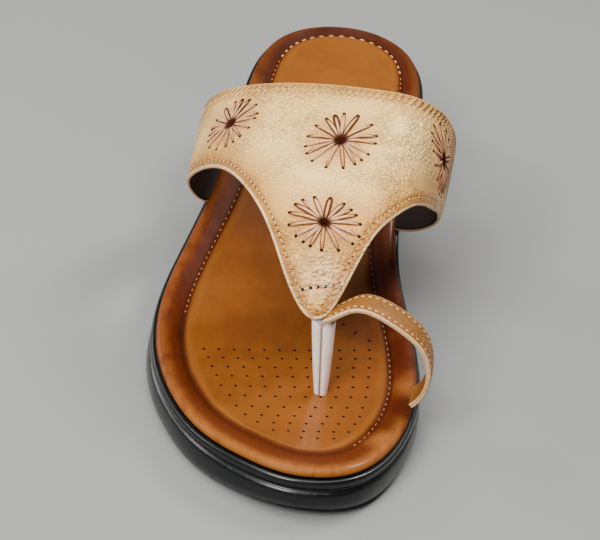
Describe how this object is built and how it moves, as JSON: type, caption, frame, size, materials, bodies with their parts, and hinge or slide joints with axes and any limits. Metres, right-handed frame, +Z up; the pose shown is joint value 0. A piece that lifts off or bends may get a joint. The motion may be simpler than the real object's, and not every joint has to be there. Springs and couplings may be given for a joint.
{
  "type": "toe-loop wedge sandal",
  "caption": "Right-foot wedge sandal: a broad instep strap tapering to a toe post, a loop over the big toe, a rimmed footbed and a moulded sole with a grooved side.",
  "frame": {"origin": "on the floor under the middle of the sandal's bounding box", "axes": "+Z up, -Y from heel to toe, +X towards the big-toe (medial) side"},
  "size_m": [0.0962, 0.255, 0.0864],
  "materials": {
    "sole_unit": "glossy black moulded polyurethane",
    "footbed_leather": "glossy caramel brown with a darker burnished rim",
    "strap_leather": "champagne tan pebbled leather with burnished edges",
    "post_strip": "satin pale folded strip",
    "lining": "matte dark brown",
    "thread": "waxed thread"
  },
  "bodies": {
    "root": {"sole": "sole_unit", "footbed": "footbed_leather", "upper": "strap_leather", "toe_post": "post_strip"}
  },
  "joints": []
}
